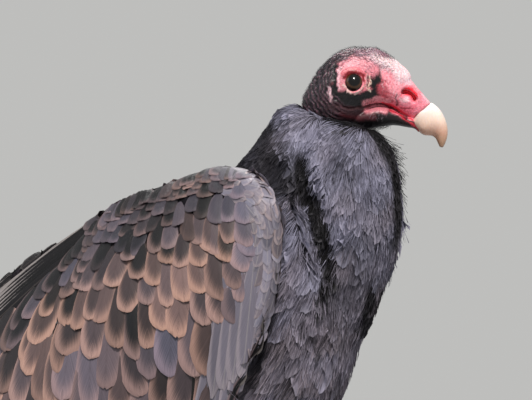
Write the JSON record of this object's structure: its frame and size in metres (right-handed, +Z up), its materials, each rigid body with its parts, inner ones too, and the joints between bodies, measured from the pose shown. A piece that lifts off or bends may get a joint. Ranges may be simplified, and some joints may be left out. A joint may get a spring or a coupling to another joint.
{
  "type": "turkey vulture model",
  "caption": "Standing turkey vulture as a life-size still model: bare wrinkled head with a hooked bill, feathered crop, folded wings, long tail and bare walking feet.",
  "frame": {"origin": "middle of the bird's bounding box, at floor level", "axes": "+X the way the body faces, +Y to the bird's left, +Z up"},
  "size_m": [0.45, 0.1918, 0.4552],
  "materials": {
    "red_skin": "bare wrinkled skin, satin",
    "dark_red_skin": "bare wrinkled skin, satin",
    "ivory_horn": "smooth horn, satin gloss",
    "brown_eye": "wet gloss",
    "grey_plumage": "soft feathers, matt",
    "brown_plumage": "close-laid feathers, faint sheen",
    "leg_skin": "scaled skin, dry",
    "dark_claw": "horn, satin"
  },
  "bodies": {
    "root": {"head": "red_skin", "lower_jaw": "dark_red_skin", "bill_hook": "ivory_horn", "eye_right": "brown_eye", "eye_left": "brown_eye", "neck_front": "grey_plumage", "neck_back": "grey_plumage", "trunk": "grey_plumage", "wing_right": "brown_plumage", "wing_left": "brown_plumage", "tail": "brown_plumage", "thigh_right": "grey_plumage", "thigh_left": "grey_plumage", "foot_right": "leg_skin", "foot_left": "leg_skin", "claw_inner_right": "dark_claw", "claw_middle_right": "dark_claw", "claw_outer_right": "dark_claw", "claw_hind_right": "dark_claw", "claw_inner_left": "dark_claw", "claw_middle_left": "dark_claw", "claw_outer_left": "dark_claw", "claw_hind_left": "dark_claw"}
  },
  "joints": []
}
